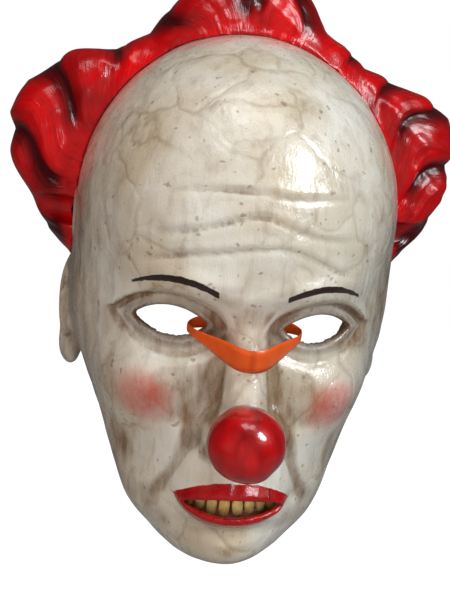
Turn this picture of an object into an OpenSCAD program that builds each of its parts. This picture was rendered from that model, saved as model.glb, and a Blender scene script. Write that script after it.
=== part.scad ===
// Clown mask: a latex face casting with bonded hair, ears, nose and teeth,
// held on the head by an elastic strap that is riveted on at the temples.
// The face looks along -Y, +X is the wearer's left and +Z is up.
// The origin is midway between the two rivets. All sizes are in millimetres.

/* [Head form] */
// Width of the head across the temples
head_w = 172; // [140:1:210]
// Height of the head from chin to crown
head_h = 264; // [218:1:320]
// Front of the forehead, ahead of the rivets
face_d = 96; // [84:1:110]
// Back rim of the face casting, behind the rivets
rim_back = 34; // [28:1:40]
// Eye line, below the rivets
eye_drop = 36; // [28:1:44]

/* [Skin] */
// Wall of the latex face casting
skin_wall = 3; // [2.4:0.1:4]
// Wall of the hollow hair castings
hair_wall = 3; // [2.4:0.1:4]
// Width of one eye opening
eye_w = 34; // [28:1:41]
// Height of one eye opening
eye_h = 13; // [9:1:18]
// Distance between the centres of the eye openings
eye_pitch = 68; // [64:1:74]
// Width of the mouth slot
mouth_w = 46; // [36:1:54]
// Height of the mouth slot
mouth_h = 9; // [6:1:12]

/* [Nose and teeth] */
// Radius of the round nose
nose_r = 17; // [13:1:20]
// Teeth in one row
teeth_count = 8; // [4:2:10]
// Height of one tooth
tooth_h = 9; // [7:0.5:11]

/* [Rivets and strap] */
// Radius of the rivet shank
shank_r = 1.9; // [1.5:0.1:2.5]
// Radius of the domed rivet cap
cap_r = 4.8; // [4:0.2:6]
// Width of the elastic strap
strap_w = 20; // [15:1:25]
// Thickness of the elastic strap
strap_t = 1.6; // [1.2:0.1:2.2]
// Straight run of the strap behind each rivet
strap_lead = 9; // [6:1:30]
// Angle at which the strap hangs at rest
strap_droop = 14; // [0:1:25]

/* [Pads and band] */
// Thickness of the foam pads
pad_t = 7; // [4:1:10]
// Width of the vinyl hanging band
band_w = 11; // [8:1:14]
// Thickness of the vinyl hanging band
band_t = 0.8; // [0.5:0.1:1.2]

/* [Hidden] */

// The proportions below are drawn for a head of 172 by 264 mm and scaled to the driving sizes.
scale_x = head_w / 172;
scale_y = face_d / 96;
scale_z = head_h / 264;
hair_scale = (scale_x + scale_z) / 2;
far_away = 3 * head_h;  // past every part of the mask
eye_z = -eye_drop;
bond_gap = 0.2;         // glue line between bonded castings
form_rings = 36;        // rows of the head form from pole to pole
form_sides = 48;        // points around each row
form_blend = 16;        // reach of the smooth blend between lobes

// A point given from the eye line, in the drawn proportions
function at(x, y, z) = [x * scale_x, y * scale_y, eye_z + z * scale_z];
function size(x, y, z) = [x * scale_x, y * scale_y, z * scale_z];

// The head form is a smooth blend of lobes that all hold form_centre: [centre, radii]
form_centre = at(0, -10, -30);
lobes = [
    [at(0, 2, 42), size(84, 97, 90)],       // cranium
    [at(0, 5, -8), size(86, 84, 74)],       // temples
    [at(0, -26, -46), size(66, 62, 70)],    // middle of the face
    [at(0, -34, -76), size(50, 58, 60)],    // jaw
];

// Features raised or sunk on the front: [x, z, half width, half height, rise]
middle_features = [
    [0, 14, 14, 10, 3],         // between the brows
    [0, -14, 9, 20, 9],         // bridge of the nose
    [0, -40, 12, 12, 15],       // tip of the nose
    [0, -72, 26, 16, 5],        // round of the mouth
    [0, -95, 20, 5, -3],        // hollow under the lip
    [0, -112, 20, 13, 8],       // chin
];
side_features = [
    [34, 0, 18, 12, -9],        // eye socket
    [28, 20, 24, 9, 3],         // brow
    [48, -34, 20, 16, 6],       // cheekbone
    [42, -68, 16, 18, -3],      // hollow of the cheek
    [11, -46, 7, 7, 7],         // wing of the nose
];
features = concat(
    middle_features, side_features,
    [for (f = side_features) [-f[0], f[1], f[2], f[3], f[4]]]
);

// Distance along dir from form_centre to the far side of one lobe
function reach(dir, lobe) =
    let (r = lobe[1],
         o = [for (i = [0:2]) (form_centre[i] - lobe[0][i]) / r[i]],
         d = [for (i = [0:2]) dir[i] / r[i]],
         a = d * d, b = o * d, c = o * o - 1)
    (-b + sqrt(b * b - a * c)) / a;
function smooth_max(a, b) =
    let (h = max(form_blend - abs(a - b), 0)) max(a, b) + h * h / (4 * form_blend);
function lobe_reach(dir, i = 0, so_far = 0) =
    i == len(lobes) ? so_far : lobe_reach(dir, i + 1, smooth_max(so_far, reach(dir, lobes[i])));

// How far the features lift the point where dir meets the blended lobes
function feature_rise(dir, length) =
    let (x = dir.x * length / scale_x, z = (form_centre.z + dir.z * length - eye_z) / scale_z,
         rises = [for (f = features) f[4] * exp(-pow((x - f[0]) / f[2], 2) - pow((z - f[1]) / f[3], 2))])
    dir.y >= 0 ? 0 : min(1, -3 * dir.y) * (rises * [for (f = features) 1]);
function form_reach(dir) = let (length = lobe_reach(dir)) length + feature_rise(dir, length);

// Rows and columns lie closer together over the face
function tilt_of(i) = let (u = i / form_rings) 180 * (u + 0.07 * sin(360 * u - 40) + 0.045 * (1 - 2 * u));
function turn_of(j) = let (t = 360 * j / form_sides) t - 22 * sin(t);
form_dirs = [
    for (i = [1:form_rings - 1], j = [0:form_sides - 1])
        let (tilt = tilt_of(i), turn = turn_of(j))
        [sin(tilt) * sin(turn), -sin(tilt) * cos(turn), cos(tilt)]
];
form_reaches = [for (dir = form_dirs) form_reach(dir)];
top_reach = form_reach([0, 0, 1]);
under_reach = form_reach([0, 0, -1]);

// The closed head form, grown by the given distance
module head_form(grow = 0) {
    rows = form_rings - 1;
    last = rows * form_sides;
    points = concat(
        [for (k = [0:last - 1]) form_centre + form_dirs[k] * (form_reaches[k] + grow)],
        [form_centre + [0, 0, top_reach + grow], form_centre - [0, 0, under_reach + grow]]
    );
    function p(i, j) = i * form_sides + j % form_sides;
    faces = concat(
        [for (i = [0:rows - 2], j = [0:form_sides - 1]) [p(i, j), p(i + 1, j + 1), p(i + 1, j)]],
        [for (i = [0:rows - 2], j = [0:form_sides - 1]) [p(i, j), p(i, j + 1), p(i + 1, j + 1)]],
        [for (j = [0:form_sides - 1]) [last, p(0, j + 1), p(0, j)]],
        [for (j = [0:form_sides - 1]) [last + 1, p(rows - 1, j), p(rows - 1, j + 1)]]
    );
    polyhedron(points, faces);
}

// Everything behind the back rim: straight down past the ears, then round under the jaw
rim_turn_z = at(0, 0, -30).z;       // where the rim starts to curve forwards
rim_under_y = at(0, -90, 0).y;      // where its curve would end, below the chin
rim_under_z = at(0, 0, -150).z;
module behind_rim(extra = 0) {
    back = rim_back + extra;
    round_points = [
        for (t = [0:10:90])
            [rim_under_y + extra + (rim_back - rim_under_y) * cos(t),
             rim_turn_z + (rim_under_z - rim_turn_z) * sin(t)]
    ];
    outline = concat(
        [[far_away, far_away], [back, far_away]], round_points,
        [[rim_under_y + extra, -far_away], [far_away, -far_away]]
    );
    rotate([90, 0, 90]) linear_extrude(far_away, center = true) polygon(outline);
}

module both_sides() {
    children();
    mirror([1, 0, 0]) children();
}

// A lens-shaped opening cut from front to back; the inner face is wider than the outer one
lens_flare = 0.6;
module lens_opening(w, h, from_y, to_y) {
    corner_r = h / 8;
    for (flare = [0, 1]) hull() {
        for (side = [-1, 1])
            translate([side * (w / 2 - corner_r), from_y, 0]) rotate([-90, 0, 0])
                cylinder(r = corner_r + flare * lens_flare, h = to_y - from_y, $fn = 16);
        for (side = [-1, 1])
            translate([side * w / 9, from_y, 0]) rotate([-90, 0, 0])
                cylinder(r = h / 2 + (flare - 1) * lens_flare, h = to_y - from_y, $fn = 32);
    }
}

/* ---- Rivet stack at the temples, from the outside in ---- */
temple_half_w = 84 * scale_x;
seat_out = temple_half_w + 0.6;
seat_in = temple_half_w - skin_wall - 1.6;
seat_r = strap_w / 2 + 3;
patch_t = 0.7;
strap_play = 0.3;
strap_out = seat_in - patch_t - strap_play;
washer_out = strap_out - strap_t - strap_play;
washer_t = 0.8;
washer_r = shank_r + 3.4;
peen_t = 0.7;
hole_clearance = 0.2;
swing_clearance = 0.05;

module along_x(from_x, to_x, r, fn = 48) {
    translate([from_x, 0, 0]) rotate([0, 90, 0]) cylinder(r = r, h = to_x - from_x, $fn = fn);
}

module temple_seat() { along_x(seat_in, seat_out, seat_r); }

// One ear: a flattened shell leaning out from the side of the head, dished on its outer face
ear_centre = at(85, 14, -20);
ear_half_d = 16 * scale_y;      // half depth from front to back
ear_half_h = 31 * scale_z;
ear_half_t = 7 * scale_x;
ear_flare = 22;         // lean away from the head, in degrees
module ear() {
    translate(ear_centre) rotate([8, 0, -ear_flare]) difference() {
        resize(2 * [ear_half_t, ear_half_d, ear_half_h]) sphere(r = ear_half_h, $fn = 24);
        translate([ear_half_t, 0, 4])
            resize(2 * [ear_half_t, ear_half_d - 4, ear_half_h - 7]) sphere(r = ear_half_h, $fn = 20);
    }
}

module face_shell() color("ivory") difference() {
    union() {
        difference() {
            union() {
                head_form();
                both_sides() ear();
            }
            head_form(-skin_wall);
            both_sides() along_x(0, seat_in, seat_r);
            both_sides() along_x(seat_out, head_w, cap_r + 1);
        }
        both_sides() temple_seat();
    }
    behind_rim();
    both_sides() translate([eye_pitch / 2, 0, eye_z]) lens_opening(eye_w, eye_h, -2 * face_d, -0.2 * face_d);
    translate(mouth_centre) lens_opening(mouth_w, mouth_h, -0.5 * face_d, 0.2 * face_d);
    both_sides() nostril();
    both_sides() along_x(0, head_w, shank_r + hole_clearance);
}

mouth_centre = at(0, -76, -80);
nostril_r = 2.6;
module nostril() {
    hull() for (step = [0, 1])
        translate(at(6, -92, -46) + step * [0, 4, -20]) sphere(r = nostril_r, $fn = 12);
}

/* ---- Hair ---- */
// Each lock is [point, radius] steps from the scalp outwards, drawn from the eye line
tuft_locks = [
    [[at(52, 14, 112), 20], [at(70, 18, 110), 19]],
    [[at(68, 14, 94), 24], [at(88, 16, 98), 21]],
    [[at(76, 14, 76), 25], [at(101, 15, 80), 21]],
    [[at(78, 15, 58), 24], [at(105, 17, 62), 20]],
    [[at(78, 18, 40), 20], [at(99, 20, 42), 18]],
    [[at(80, 20, 24), 13], [at(93, 23, 24), 12]],
];
crown_locks = [
    [[at(0, 12, 126), 26], [at(2, 16, 152), 19], [at(0, 20, 174), 9]],
    [[at(20, 14, 122), 25], [at(19, 18, 142), 19], [at(13, 22, 160), 10]],
    [[at(-20, 14, 122), 25], [at(-19, 18, 144), 19], [at(-15, 22, 163), 9]],
    [[at(42, 14, 116), 22], [at(42, 18, 126), 17]],
    [[at(-42, 14, 116), 22], [at(-42, 18, 126), 17]],
];
hair_front = -3;        // front edge of the hair, ahead of the rivets
crown_half_w = 62 * scale_x;

lock_run = 2 * rim_back;    // each lock runs straight back, past the rim that trims it
module lock_shapes(locks, inset = 0) {
    for (lock = locks)
        hull() for (step = lock, back = [0, lock_run])
            translate(step[0] + [0, back, 0]) sphere(r = max(step[1] * hair_scale - inset, 1), $fn = 14);
}

module ahead_of(y) { translate([-far_away / 2, y - far_away, -far_away / 2]) cube(far_away); }

// A hollow casting, closed at the front and on the scalp and open at the back rim
module hair_skin(locks) {
    difference() {
        lock_shapes(locks);
        head_form(bond_gap);
        difference() {
            lock_shapes(locks, hair_wall);
            head_form(bond_gap + hair_wall);
            ahead_of(hair_front + hair_wall);
        }
        behind_rim();
        ahead_of(hair_front);
    }
}

// Everything past the upright plane where the crown piece meets the left tuft
module past_crown(side) {
    translate([crown_half_w + side * bond_gap / 2, -far_away / 2, -far_away / 2]) cube(far_away);
}

module left_hair_tuft() color("red") intersection() {
    difference() {
        hair_skin(tuft_locks);
        rivet_room();
    }
    past_crown(1);
}

module right_hair_tuft() mirror([1, 0, 0]) left_hair_tuft();

module crown_hair() color("red") difference() {
    hair_skin(crown_locks);
    both_sides() past_crown(-1);
}

// Room left around the rivet cap and its flat seat
module rivet_room() { along_x(0, head_w, seat_r + 1); }

/* ---- Nose and teeth ---- */
nose_centre = at(0, -112, -42);
module nose_ball() color("crimson") difference() {
    hull() {
        translate(nose_centre) sphere(r = nose_r, $fn = 40);
        translate(nose_centre + [0, 4, 2]) sphere(r = nose_r - 2, $fn = 24);
    }
    head_form(bond_gap);
}

arch_centre = at(0, -55, -80);
arch_r = 27;
gum_t = 2.4;
gum_half_h = 17 * scale_z;
tooth_pitch = 12;       // degrees between neighbouring teeth round the arch
tooth_gap = 0.6;        // between the two rows where they meet

module gum_plate() color("rosybrown") intersection() {
    head_form(-skin_wall - bond_gap);
    union() {
        translate(arch_centre - [0, 0, gum_half_h]) rotate(180) rotate_extrude(angle = 180)
            translate([arch_r - gum_t, 0]) square([gum_t, 2 * gum_half_h]);
        both_sides() hull() for (end = [0, 1])
            translate(arch_centre + [arch_r - gum_t / 2 + end * 40, 0, 0])
                cylinder(r = gum_t / 2, h = 20, center = true, $fn = 24);
    }
}

// One tooth stands in front of the arch, its biting edge at z = 0 and its rounded root upwards
tooth_r = 2.6;
tooth_back = 1.2;       // from the tooth's axis to its flat back
module tooth() {
    translate([0, -arch_r - bond_gap - tooth_back, 0]) intersection() {
        union() {
            cylinder(r = tooth_r, h = tooth_h - tooth_r, $fn = 32);
            translate([0, 0, tooth_h - tooth_r]) sphere(r = tooth_r, $fn = 32);
        }
        translate([-tooth_r - 1, -tooth_r - 1, 0]) cube([2 * tooth_r + 2, tooth_r + 1 + tooth_back, tooth_h + 1]);
    }
}

module teeth_row() {
    for (i = [0:teeth_count - 1])
        rotate((i - (teeth_count - 1) / 2) * tooth_pitch) tooth();
}

module upper_teeth() color("khaki") translate(arch_centre + [0, 0, tooth_gap / 2]) teeth_row();
module lower_teeth() color("khaki")
    translate(arch_centre - [0, 0, tooth_gap / 2]) mirror([0, 0, 1]) teeth_row();

/* ---- Strap and rivets ---- */
cap_h = 2.2;
peen_lip = 1;           // how far the peened end spreads past the shank
module left_rivet() color("dimgray") {
    // The profile runs up the axis of the shank, which then lies along X
    dome_r = (cap_r * cap_r + cap_h * cap_h) / (2 * cap_h);
    dome_turn = asin(cap_r / dome_r);
    peen_x = washer_out - washer_t;
    dome = [
        for (k = [0:7])
            let (t = dome_turn * (1 - k / 8)) [dome_r * sin(t), seat_out + cap_h - dome_r * (1 - cos(t))]
    ];
    rotate([0, 90, 0]) rotate_extrude($fn = 48) polygon(concat(
        [[0, peen_x - peen_t], [shank_r + 0.6 * peen_lip, peen_x - peen_t],
         [shank_r + peen_lip, peen_x - peen_t / 2], [shank_r + peen_lip, peen_x],
         [shank_r, peen_x], [shank_r, seat_out]],
        dome, [[0, seat_out + cap_h]]
    ));
}
module right_rivet() mirror([1, 0, 0]) left_rivet();

module left_rivet_washer() color("silver") difference() {
    along_x(washer_out - washer_t, washer_out, washer_r);
    along_x(washer_out - 2 * washer_t, washer_out + washer_t, shank_r);
}
module right_rivet_washer() mirror([1, 0, 0]) left_rivet_washer();

module left_temple_patch() color("tan") difference() {
    along_x(seat_in - patch_t, seat_in, seat_r - 1);
    along_x(seat_in - 2 * patch_t, seat_out, shank_r + hole_clearance);
    behind_rim(-1);
}
module right_temple_patch() mirror([1, 0, 0]) left_temple_patch();

strap_r = strap_out - strap_t / 2;
module elastic_strap() color("dimgray") rotate([-strap_droop, 0, 0]) difference() {
    union() {
        translate([0, strap_lead, -strap_w / 2]) rotate_extrude(angle = 180)
            translate([strap_r - strap_t / 2, 0]) square([strap_t, strap_w]);
        both_sides() {
            translate([strap_out - strap_t, 0, -strap_w / 2]) cube([strap_t, strap_lead, strap_w]);
            along_x(strap_out - strap_t, strap_out, strap_w / 2);
        }
    }
    both_sides() along_x(0, head_w, shank_r + swing_clearance);
}

/* ---- Pads ---- */
// A foam pad bonded to the inside of the skin, with the outline of its child
module lining() {
    difference() {
        intersection() {
            head_form(-skin_wall - bond_gap);
            translate([0, -0.3 * face_d, 0]) rotate([90, 0, 0]) linear_extrude(2 * face_d)
                children();
        }
        head_form(-skin_wall - bond_gap - pad_t);
    }
}

module forehead_pad() color("lightgray") lining()
    translate([0, at(0, 0, 78).z]) scale([scale_x, scale_z])
        offset(r = 10, $fn = 24) square([84, 18], center = true);

module left_cheek_pad() color("lightgray") lining()
    translate([at(47, 0, 0).x, at(0, 0, -46).z]) scale([scale_x, scale_z])
        offset(r = 9, $fn = 24) square([12, 22], center = true);
module right_cheek_pad() mirror([1, 0, 0]) left_cheek_pad();

/* ---- Hanging band ---- */
// A point measured sideways from the inner end of an eye opening
eye_inner = (eye_pitch - eye_w) / 2;
function by_eye(x, y, z) = [eye_inner + x, at(0, y, z).y, at(0, y, z).z];

// Route round the bridge of the nose and back through both eye openings, one half from the
// front: [point, width of the band as a share of band_w]
band_half = [
    [at(0, -106, -7), 1], [at(6, -104, -6.5), 1], [at(12, -98, -5), 0.85], [by_eye(1, -91, -3.5), 0.55],
    [by_eye(6, -85, -2.5), 0.35], [by_eye(8.5, -79, -2.2), 0.32], [by_eye(9, -73, -2), 0.32],
    [by_eye(4, -68, -1.5), 0.5], [at(10, -65.5, -1), 0.6], [at(0, -65, -1), 0.6]
];
band_route = concat(
    band_half,
    [for (i = [len(band_half) - 2:-1:1]) let (b = band_half[i]) [[-b[0].x, b[0].y, b[0].z], b[1]]]
);

// A closed ribbon whose width stands upright along its route
module upright_ribbon(route, w, t) {
    n = len(route);
    function flat(v) = [v.x, v.y, 0] / norm([v.x, v.y, 0]);
    function side_of(i) =
        let (run = flat(route[(i + 1) % n][0] - route[(i + n - 1) % n][0])) [-run.y, run.x, 0];
    points = [
        for (i = [0:n - 1], c = [[-1, -1], [1, -1], [1, 1], [-1, 1]])
            route[i][0] + side_of(i) * c[0] * t / 2 + [0, 0, c[1] * w * route[i][1] / 2]
    ];
    faces = [
        for (i = [0:n - 1], c = [0:3])
            let (j = (i + 1) % n, d = (c + 1) % 4)
            [4 * i + c, 4 * i + d, 4 * j + d, 4 * j + c]
    ];
    polyhedron(points, [for (f = faces, k = [0, 1]) k == 0 ? [f[2], f[1], f[0]] : [f[3], f[2], f[0]]]);
}

module hang_band() color("darkorange") upright_ribbon(band_route, band_w, band_t);

staple_wire = 0.6;
staple_w = 8;
module band_staple() color("silver")
    translate(at(0, -65, -1) + [0, band_t / 2 + staple_wire / 2, 0]) rotate([0, 90, 0])
        cylinder(r = staple_wire / 2, h = staple_w, center = true, $fn = 16);

face_shell();
crown_hair();
left_hair_tuft();
right_hair_tuft();
nose_ball();
gum_plate();
upper_teeth();
lower_teeth();
left_rivet();
right_rivet();
left_rivet_washer();
right_rivet_washer();
left_temple_patch();
right_temple_patch();
elastic_strap();
forehead_pad();
left_cheek_pad();
right_cheek_pad();
hang_band();
band_staple();
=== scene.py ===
# Latex clown mask: sculpted in code as distance fields, then meshed, painted and lit.
# Lengths in the sculpting dictionaries are millimetres, and objects are in metres.
from functools import partial
import bmesh
import bpy
import numpy as np
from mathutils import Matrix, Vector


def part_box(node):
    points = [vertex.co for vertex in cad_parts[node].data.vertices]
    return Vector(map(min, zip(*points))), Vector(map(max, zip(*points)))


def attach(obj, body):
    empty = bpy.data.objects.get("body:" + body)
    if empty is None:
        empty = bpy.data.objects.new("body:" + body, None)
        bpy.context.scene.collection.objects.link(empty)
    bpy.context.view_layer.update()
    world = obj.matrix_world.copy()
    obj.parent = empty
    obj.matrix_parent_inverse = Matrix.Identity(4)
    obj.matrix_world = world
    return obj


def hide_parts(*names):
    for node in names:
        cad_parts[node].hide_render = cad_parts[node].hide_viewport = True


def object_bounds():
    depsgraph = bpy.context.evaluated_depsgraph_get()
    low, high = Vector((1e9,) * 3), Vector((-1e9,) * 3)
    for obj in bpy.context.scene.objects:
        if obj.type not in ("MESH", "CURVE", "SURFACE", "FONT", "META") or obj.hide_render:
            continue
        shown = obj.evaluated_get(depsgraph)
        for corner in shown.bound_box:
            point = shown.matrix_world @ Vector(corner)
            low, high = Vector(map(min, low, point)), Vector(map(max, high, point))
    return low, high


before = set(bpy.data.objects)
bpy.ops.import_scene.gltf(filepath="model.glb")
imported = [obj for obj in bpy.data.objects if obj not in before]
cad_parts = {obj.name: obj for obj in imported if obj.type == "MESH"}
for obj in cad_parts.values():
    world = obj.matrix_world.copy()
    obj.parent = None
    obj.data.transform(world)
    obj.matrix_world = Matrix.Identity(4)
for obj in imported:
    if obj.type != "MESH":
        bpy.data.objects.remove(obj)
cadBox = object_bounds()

import openvdb
from mathutils import Matrix, Vector

mm = 0.001


def boxOf(node):
    low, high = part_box(node)
    return np.array(low) / mm, np.array(high) / mm


def centreOf(node):
    low, high = boxOf(node)
    return (low + high) / 2


def addObject(name, data):
    thing = bpy.data.objects.new(name, data)
    bpy.context.scene.collection.objects.link(thing)
    return thing


def handOver(thing, node, body):
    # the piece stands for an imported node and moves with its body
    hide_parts(node)
    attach(thing, body)


# fields: each takes points (n, 3) and gives distances, negative inside
def pts(*xyz):
    return np.array(xyz, dtype=np.float32)


def length(v):
    return np.sqrt((v * v).sum(axis=-1))


def ellipsoid(p, centre, radii):
    q = (p - pts(*centre)) / pts(*radii)
    near = length(q)
    return near * (near - 1) / np.maximum(length(q / pts(*radii)), 1e-6)


def blendMin(a, b, reach):
    h = np.maximum(reach - np.abs(a - b), 0)
    return np.minimum(a, b) - h * h / (4 * reach)


def blendMax(a, b, reach):
    return -blendMin(-a, -b, reach)


def stick(p, a, b, ra, rb):
    a, b = pts(*a), pts(*b)
    t = np.clip(((p - a) @ (b - a)) / ((b - a) @ (b - a)), 0, 1)
    return length(p - a - t[:, None] * (b - a)) - (ra + (rb - ra) * t)


def bump(x, z, x0, z0, w, h):
    return np.exp(-((x - x0) / w) ** 2 - ((z - z0) / h) ** 2)


def almond(x, z, w, h, corner=2.0):
    # two arcs that meet at the corners
    a, b = w / 2, h / 2
    radius = (a * a + b * b) / (2 * b)
    upper = np.hypot(x, z + radius - b) - radius
    lower = np.hypot(x, z - radius + b) - radius
    return blendMax(upper, lower, corner)


def smoothStep(low, high, v):
    t = np.clip((v - low) / (high - low), 0, 1)
    return t * t * (3 - 2 * t)


def smoothPath(points, steps):
    # a curve through all the points, with the same number of steps in each span
    points = np.array(points, dtype=float)
    ends = np.vstack([2 * points[0] - points[1], points, 2 * points[-1] - points[-2]])
    out = []
    for i in range(len(points) - 1):
        p0, p1, p2, p3 = ends[i:i + 4]
        for k in range(steps):
            t = k / steps
            out.append(0.5 * (2 * p1 + (p2 - p0) * t + (2 * p0 - 5 * p1 + 4 * p2 - p3) * t * t
                              + (3 * p1 - p0 - 3 * p2 + p3) * t ** 3))
    out.append(points[-1])
    return np.array(out, dtype=np.float32)


def wave(p, size, seed):
    # a smooth uneven field from a few crossed sine waves, about -1 to 1
    rng = np.random.default_rng(seed)
    total = np.zeros(len(p), dtype=np.float32)
    for _ in range(6):
        way = rng.normal(size=3)
        way *= 2 * np.pi / size / np.linalg.norm(way) * rng.uniform(0.7, 1.4)
        total += np.sin(p @ way.astype(np.float32) + rng.uniform(0, 6.28)).astype(np.float32)
    return total / 3


# meshing: a coarse pass finds the cells near the surface, and only they are worked out finely
def meshFromField(name, field, low, high, step):
    low, high = np.array(low, dtype=np.float32), np.array(high, dtype=np.float32)
    big, per = step * 4, 4
    cells = np.ceil((high - low) / big).astype(int) + 1
    axes = [low[i] + big * (np.arange(cells[i]) + 0.5 - 0.5 / per) for i in range(3)]
    grid = np.stack(np.meshgrid(*axes, indexing="ij"), axis=-1).astype(np.float32).reshape(-1, 3)
    coarse = field(grid)
    near = np.where(np.abs(coarse) < big * 1.15)[0]
    dense = np.repeat(np.repeat(np.repeat(coarse.reshape(cells), per, 0), per, 1), per, 2)
    dense = np.ascontiguousarray(np.clip(dense, -3 * step, 3 * step), dtype=np.float32)
    corner = np.stack(np.unravel_index(near, cells), axis=-1) * per
    steps = np.stack(np.meshgrid(*[np.arange(per)] * 3, indexing="ij"), axis=-1).reshape(-1, 3)
    index = (corner[:, None, :] + steps[None]).reshape(-1, 3)
    fine = field((low + index * step).astype(np.float32))
    dense[index[:, 0], index[:, 1], index[:, 2]] = np.clip(fine, -3 * step, 3 * step)
    volume = openvdb.FloatGrid(3 * step)
    volume.copyFromArray(dense)
    points, quads = volume.convertToQuads(0.0)
    points = low + points.astype(np.float32) * step
    for _ in range(2):      # settle each corner on the true surface
        points -= np.clip(field(points), -step, step)[:, None] * slope(field, points)
    mesh = bpy.data.meshes.new(name)
    mesh.from_pydata((points * mm).tolist(), [], quads.tolist())
    mesh.update()
    thing = addObject(name, mesh)
    if signedVolume(points, quads) < 0:
        mesh.flip_normals()
    mesh.shade_smooth()
    print(name, len(points), "corners")
    return thing, points


def signedVolume(points, quads):
    a, b, c = (points[quads[:, i]].astype(float) for i in (0, 1, 2))
    d = points[quads[:, 3]].astype(float)
    return float((np.cross(a, b) * c).sum() + (np.cross(a, c) * d).sum()) / 6


def slope(field, p, reach=0.25):
    # the direction in which the field grows fastest, from four samples
    total = np.zeros_like(p)
    for way in ((1, -1, -1), (-1, -1, 1), (-1, 1, -1), (1, 1, 1)):
        total += field(p + pts(*way) * reach)[:, None] * pts(*way)
    return total / np.maximum(length(total), 1e-6)[:, None]


def giveValue(thing, name, values):
    layer = thing.data.attributes.new(name, "FLOAT", "POINT")
    layer.data.foreach_set("value", np.ascontiguousarray(values, dtype=np.float32))


def meshObject(name, points, faces, smooth=True):
    mesh = bpy.data.meshes.new(name)
    mesh.from_pydata((np.array(points, dtype=float) * mm).tolist(), [], [tuple(f) for f in faces])
    mesh.update()
    thing = addObject(name, mesh)
    if smooth:
        mesh.shade_smooth()
    return thing


# head: the same lobes as the imported shell, set from the rivets, the shell, the nose ball and the gums
rivetX = boxOf("left_rivet")[1][0] - 2.2     # the foot of the cap
rivetSide = 60      # from here outwards a point belongs to one rivet
seat = {"radius": 12.5, "flat": 9, "hole": 2.1}
rim = boxOf("face_shell")
head = {
    "skin": 3.0,
    "eyeZ": -36.0,
    "backY": rim[1][1],
    "eyePitch": 68.0, "eyeWide": 33.0, "eyeHigh": 13.5,
    "mouthWide": 46.0, "mouthHigh": 10.0,
    "mouth": centreOf("gum_plate") * pts(0, 0, 1),
    "nose": centreOf("nose_ball"),
}
eyeZ = head["eyeZ"]
mouthZ = float(head["mouth"][2])


def headBase(p):
    d = ellipsoid(p, (0, 2, eyeZ + 42), (84, 97, 90))
    d = blendMin(d, ellipsoid(p, (0, 5, eyeZ - 8), (86, 84, 74)), 18)
    d = blendMin(d, ellipsoid(p, (0, -26, eyeZ - 46), (66, 62, 70)), 18)
    return blendMin(d, ellipsoid(p, (0, -34, eyeZ - 76), (50, 58, 60)), 18)


def lipShape(x, z):
    # centre lines and half heights of the two lips, by distance from the middle
    across = np.clip(x / 27, 0, 1)
    fade = np.clip(1 - across ** 2, 0, 1) ** 0.6
    bow = 1.5 * np.exp(-(x / 3.2) ** 2)
    upperZ = mouthZ + 6.6 - 6.2 * across ** 2 - bow * 0.6
    lowerZ = mouthZ - 7.4 + 7.6 * across ** 2
    return upperZ, 4.4 * fade + 0.2, lowerZ, 5.4 * fade + 0.2


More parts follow.
